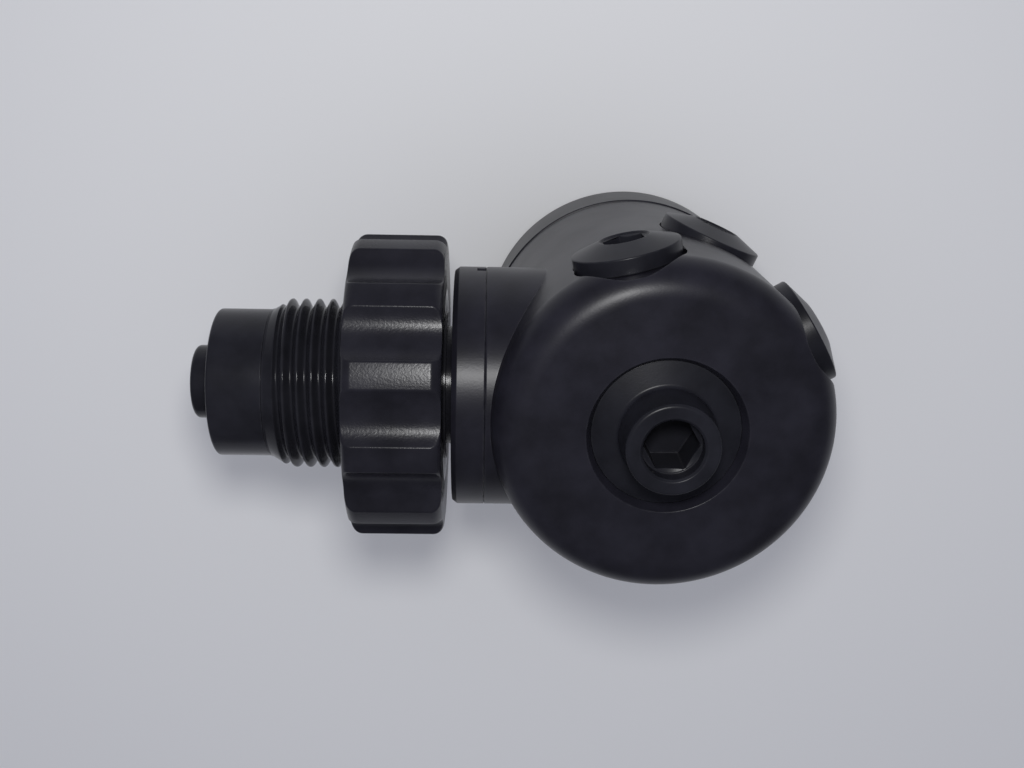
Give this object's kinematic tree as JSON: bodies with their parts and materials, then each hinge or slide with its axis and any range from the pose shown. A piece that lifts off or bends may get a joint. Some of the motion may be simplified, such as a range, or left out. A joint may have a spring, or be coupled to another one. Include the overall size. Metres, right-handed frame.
{
  "type": "diving regulator first stage",
  "caption": "Diving regulator first stage: upright round barrel with closed hose ports and a side DIN connector with a fluted handwheel that turns with its threaded sleeve.",
  "frame": {"origin": "centre of the flat rear face that the barrel stands on", "axes": "+Z along the barrel axis towards the front face; the connector points along -X"},
  "size_m": [0.0834, 0.0462, 0.0619],
  "materials": {
    "barrel_black": "black satin coating on forged brass",
    "plug_black": "black satin coating on turned brass",
    "connector_black": "black satin coating, fine turning marks",
    "thread_black": "black coating, shinier on the crests",
    "wheel_black": "satin moulded",
    "seal_rubber": "smooth",
    "bare_brass": "turned",
    "seat_plastic": "smooth",
    "spring_steel": "drawn wire",
    "sintered_bronze": "sintered grain"
  },
  "bodies": {
    "body": {"body": "barrel_black", "rear_cap": "barrel_black", "neck_collar": "barrel_black", "din_stem": "connector_black", "stem_ring": "seal_rubber", "din_face_ring": "seal_rubber", "din_filter": "sintered_bronze", "filter_clip": "spring_steel", "balance_plug": "barrel_black", "plug_ring": "seal_rubber", "balance_ring": "seal_rubber", "orifice": "bare_brass", "orifice_ring": "seal_rubber", "clamp_washer": "seat_plastic", "main_spring": "spring_steel", "poppet_spring": "spring_steel", "low_port_plug_1": "plug_black", "low_port_ring_1": "seal_rubber", "low_port_plug_2": "plug_black", "low_port_ring_2": "seal_rubber", "low_port_plug_3": "plug_black", "low_port_ring_3": "seal_rubber", "low_port_plug_4": "plug_black", "low_port_ring_4": "seal_rubber", "high_port_plug_1": "plug_black", "high_port_ring_1": "seal_rubber", "high_port_plug_2": "plug_black", "high_port_ring_2": "seal_rubber"},
    "connector": {"din_sleeve": "thread_black", "handwheel": "wheel_black"},
    "valve_plate": {"diaphragm": "seal_rubber", "spring_plate": "bare_brass", "lifter": "bare_brass"},
    "poppet": {"poppet": "bare_brass", "poppet_seat": "seat_plastic"},
    "screw_carrier": {"thrust_washer": "spring_steel"},
    "adjusting_screw": {"adjusting_screw": "connector_black"}
  },
  "joints": [
    {"name": "connector_spin", "type": "hinge", "parent": "body", "child": "connector", "pos_m": [-0.033, 0, 0.0371], "axis": [-1, 0, 0], "continuous": true},
    {"name": "screw_travel", "type": "slide", "parent": "body", "child": "screw_carrier", "axis": [0, 0, 1], "range_m": [-0.001, 0.001], "deforming": ["main_spring"]},
    {"name": "screw_turn", "type": "hinge", "parent": "screw_carrier", "child": "adjusting_screw", "pos_m": [0, 0, 0.0045], "axis": [0, 0, 1], "range_deg": [-360, 360]},
    {"name": "valve_travel", "type": "slide", "parent": "body", "child": "valve_plate", "axis": [0, 0, 1], "range_m": [-0.0008, 0], "stiffness_N_per_m": 500, "springref_m": 0.001, "deforming": ["diaphragm", "main_spring"]},
    {"name": "poppet_travel", "type": "slide", "parent": "body", "child": "poppet", "axis": [0, 0, 1], "range_m": [-0.0008, 0], "deforming": ["poppet_spring"]}
  ],
  "couplings": [
    {"joint": "screw_turn", "follows": "screw_travel", "rad_per_m": 6283.2},
    {"joint": "poppet_travel", "follows": "valve_travel", "ratio": 1}
  ]
}
